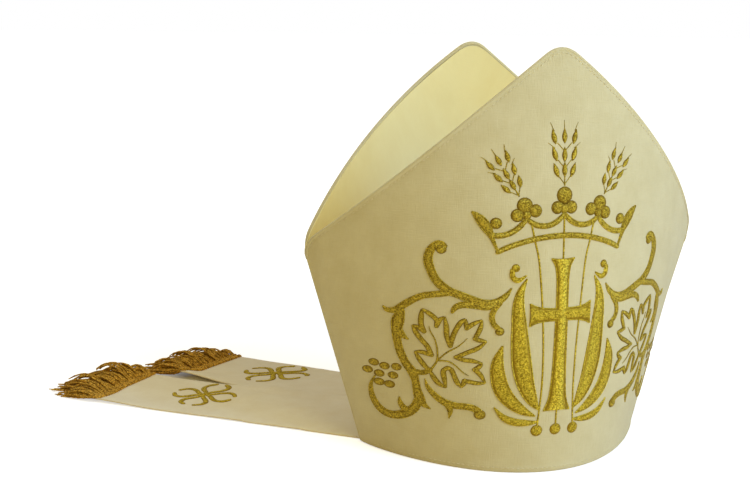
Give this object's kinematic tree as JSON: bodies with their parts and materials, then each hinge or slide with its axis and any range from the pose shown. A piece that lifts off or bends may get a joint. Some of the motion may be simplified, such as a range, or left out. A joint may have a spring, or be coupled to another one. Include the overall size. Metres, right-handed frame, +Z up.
{
  "type": "bishop mitre",
  "caption": "Tall peaked ceremonial hat of stiffened cloth, open below for the head, lined between its peaks, with gold embroidery and fringed tails laid flat behind it.",
  "frame": {"origin": "middle of the head opening, in the plane of the rim that the mitre stands on", "axes": "+Z up; the front panel faces -Y, so +X is to the wearer's left and the lappets run back and to -X"},
  "size_m": [0.4766, 0.3436, 0.2859],
  "materials": {
    "cloth": "cream wool cloth over a stiffener",
    "lining": "pale yellow satin",
    "fringe": "old-gold metal bullion",
    "gold_thread": "glittering gold embroidery thread"
  },
  "bodies": {
    "root": {"front_panel": "cloth", "back_panel": "cloth", "lining": "lining", "left_lappet": "cloth", "left_fringe": "fringe", "right_lappet": "cloth", "right_fringe": "fringe"}
  },
  "joints": []
}
